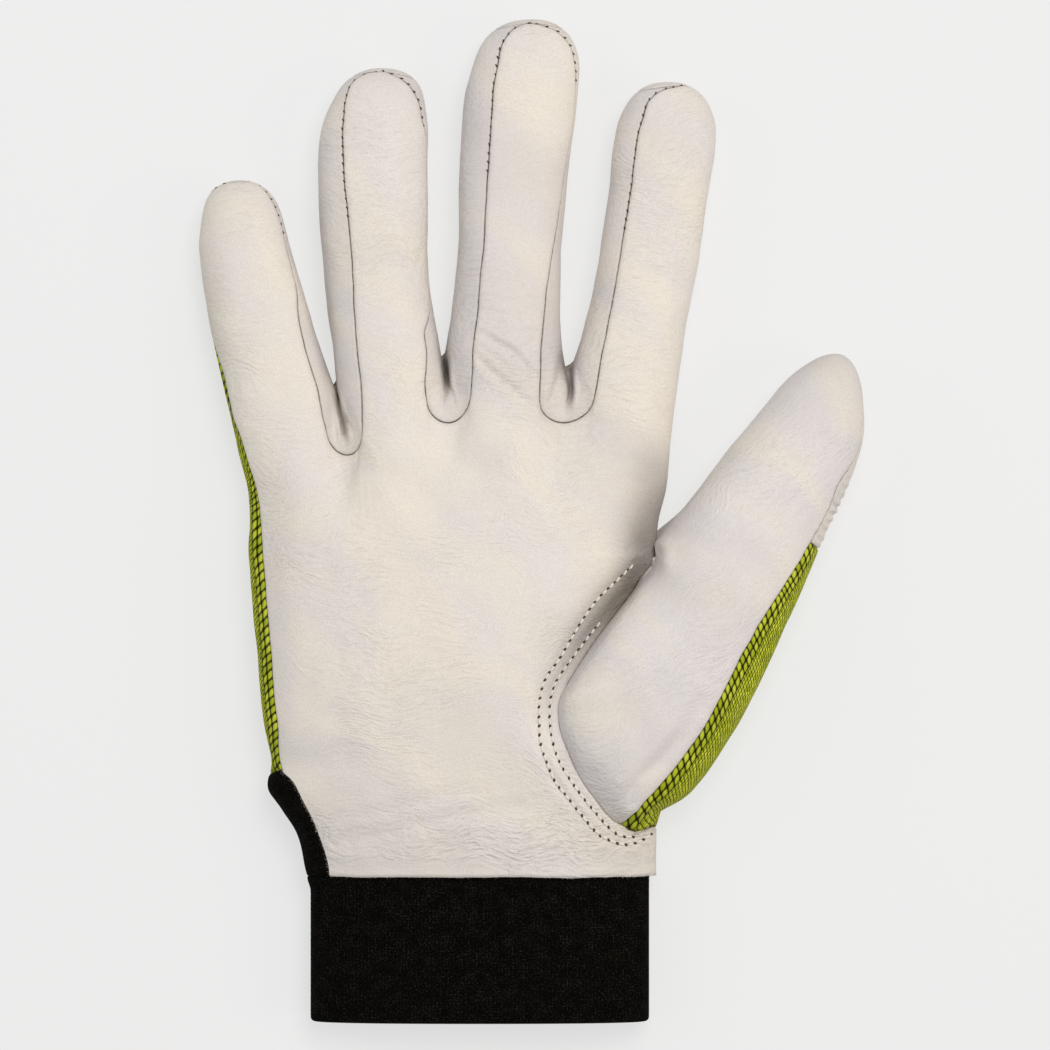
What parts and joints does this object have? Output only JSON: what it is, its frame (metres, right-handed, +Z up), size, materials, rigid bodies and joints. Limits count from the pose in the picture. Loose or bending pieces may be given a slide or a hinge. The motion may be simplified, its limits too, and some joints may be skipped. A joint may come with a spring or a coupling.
{
  "type": "work glove",
  "caption": "Leather palm work glove for the right hand, with a stretch fabric back, leather strips between the fingers and a knit cuff.",
  "frame": {"origin": "on the resting surface, under the middle of the glove's bounding box", "axes": "+Y along the glove from the cuff to the fingertips, +X toward the thumb, +Z up out of the palm"},
  "size_m": [0.1659, 0.2502, 0.0323],
  "materials": {
    "palm_leather": "smooth off-white grain",
    "strip_leather": "smooth off-white grain",
    "tip_leather": "smooth off-white grain",
    "thumb_leather": "smooth off-white grain",
    "stretch_fabric": "coarse stretch weave",
    "gusset_knit": "fine black knit",
    "cuff_knit": "fine black elastic knit"
  },
  "bodies": {
    "root": {"palm_leather": "palm_leather", "fourchette_little_ring": "strip_leather", "fourchette_ring_middle": "strip_leather", "fourchette_middle_index": "strip_leather", "back_fabric": "stretch_fabric", "fingertip_back_little": "tip_leather", "fingertip_back_ring": "tip_leather", "fingertip_back_middle": "tip_leather", "fingertip_back_index": "tip_leather", "thumb_front_leather": "thumb_leather", "thumb_back_fabric": "stretch_fabric", "thumb_tip_back": "tip_leather", "wrist_gusset": "gusset_knit", "cuff": "cuff_knit"}
  },
  "joints": []
}
